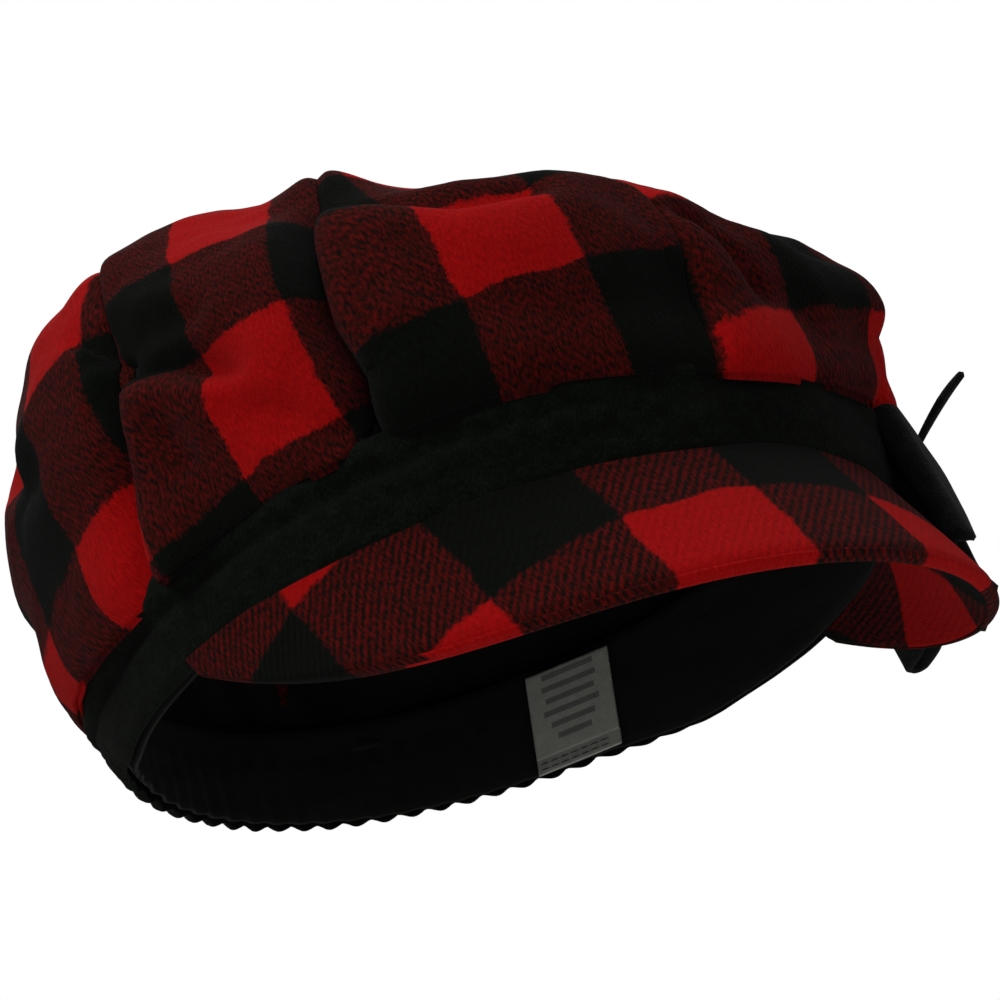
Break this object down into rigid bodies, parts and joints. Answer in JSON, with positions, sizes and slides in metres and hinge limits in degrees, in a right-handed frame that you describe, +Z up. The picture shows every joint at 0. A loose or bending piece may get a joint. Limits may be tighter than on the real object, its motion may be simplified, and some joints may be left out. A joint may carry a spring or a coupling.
{
  "type": "baker-boy cap",
  "caption": "Puffy panelled baker-boy cap in red and black check with a curved brim, a felt band and a side bow.",
  "frame": {"origin": "middle of the head opening, in the plane of the band's lower edge", "axes": "+Z up towards the crown; the brim points along -Y; the wearer's left, with the bow, is +X"},
  "size_m": [0.2074, 0.2326, 0.1464],
  "materials": {
    "plaid": "brushed twill flannel in a red and black buffalo check",
    "button_plaid": "the same brushed plaid, gathered over a button",
    "black_felt": "matt felted wool",
    "lining": "smooth woven lining with a faint sheen",
    "sweatband_cloth": "closely woven cotton facing",
    "interlining": "stiff non-woven interlining",
    "elastic": "woven elastic tape",
    "board": "thin moulded board",
    "label_cloth": "satin woven label tape",
    "thread": "spun thread"
  },
  "bodies": {
    "cap": {"crown_panel_front_left": "plaid", "crown_panel_left_front": "plaid", "crown_panel_left_back": "plaid", "crown_panel_back_left": "plaid", "crown_panel_back_right": "plaid", "crown_panel_right_back": "plaid", "crown_panel_right_front": "plaid", "crown_panel_front_right": "plaid", "top_button": "button_plaid", "crown_lining": "lining", "outer_band": "black_felt", "band_interlining": "interlining", "sweatband": "sweatband_cloth", "back_elastic": "elastic", "bow_knot": "black_felt", "bow_tack": "thread", "bow_loop_front": "black_felt", "bow_loop_back": "black_felt", "label_tab": "label_cloth", "label_stitches": "thread"},
    "brim": {"brim_top_cover": "plaid", "brim_board": "board", "brim_under_cover": "plaid", "brim_edge_seam": "plaid"},
    "lower_tail": {"bow_tail_lower": "black_felt"},
    "upper_tail": {"bow_tail_upper": "black_felt"},
    "label_flap": {"care_label": "label_cloth"}
  },
  "joints": [
    {"name": "brim_flex", "type": "hinge", "parent": "cap", "child": "brim", "pos_m": [0, -0.07, -0.001], "axis": [-1, 0, 0], "range_deg": [-3, 7], "stiffness_Nm_per_rad": 0.6},
    {"name": "lower_tail_swing", "type": "hinge", "parent": "cap", "child": "lower_tail", "pos_m": [0.09592, -0.04605, 0.013], "axis": [-0.3721, -0.9282, 0], "range_deg": [0, 65]},
    {"name": "upper_tail_bend", "type": "hinge", "parent": "cap", "child": "upper_tail", "pos_m": [0.09151, -0.04428, 0.0195], "axis": [-0.3721, -0.9282, 0], "range_deg": [-20, 25], "stiffness_Nm_per_rad": 0.002},
    {"name": "label_flap_hinge", "type": "hinge", "parent": "cap", "child": "label_flap", "pos_m": [0.05999, 0.06574, 0.0072], "axis": [0.6627, -0.7489, 0], "range_deg": [0, 70], "stiffness_Nm_per_rad": 0.0008}
  ]
}
